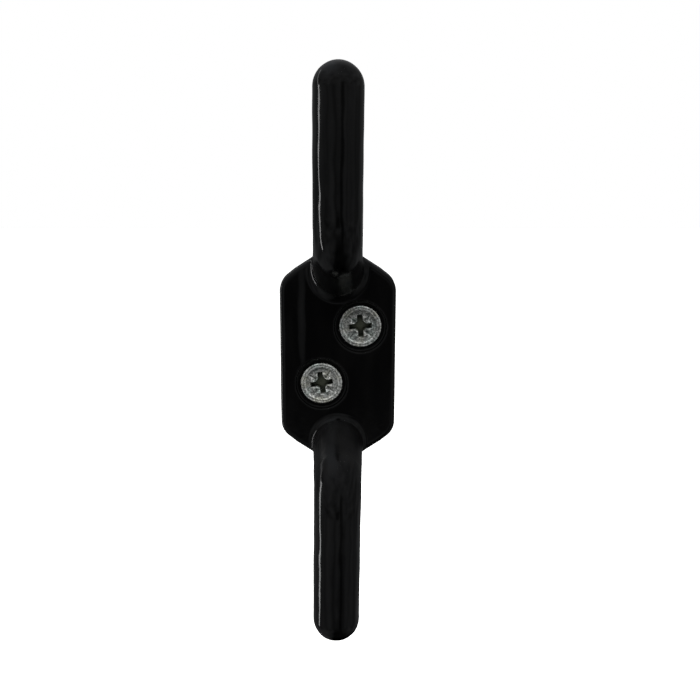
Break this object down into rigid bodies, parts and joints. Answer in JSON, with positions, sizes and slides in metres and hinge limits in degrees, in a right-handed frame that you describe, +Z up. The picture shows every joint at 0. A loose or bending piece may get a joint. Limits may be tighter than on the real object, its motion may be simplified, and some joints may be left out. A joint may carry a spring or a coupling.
{
  "type": "cleat hook",
  "caption": "One-piece cast cleat hook with two round horns on an elongated hexagonal plate, fixed by countersunk wood screws, for winding and tying off a cord or line.",
  "frame": {"origin": "centre of the plate's back face, which lies against the wall", "axes": "+Z runs up along the horns, +Y points into the wall, and the front of the cleat faces -Y; +X is to the right as seen from the front"},
  "size_m": [0.0226, 0.0397, 0.11],
  "materials": {
    "black_enamel": "gloss",
    "zinc_plate": "satin"
  },
  "bodies": {
    "cleat": {"cleat_casting": "black_enamel"},
    "upper_screw": {"upper_screw": "zinc_plate"},
    "lower_screw": {"lower_screw": "zinc_plate"}
  },
  "joints": [
    {"name": "upper_screw_slide", "type": "slide", "parent": "cleat", "child": "upper_screw", "axis": [0, -1, 0], "range_m": [0, 0.028]},
    {"name": "lower_screw_slide", "type": "slide", "parent": "cleat", "child": "lower_screw", "axis": [0, -1, 0], "range_m": [0, 0.028]}
  ]
}
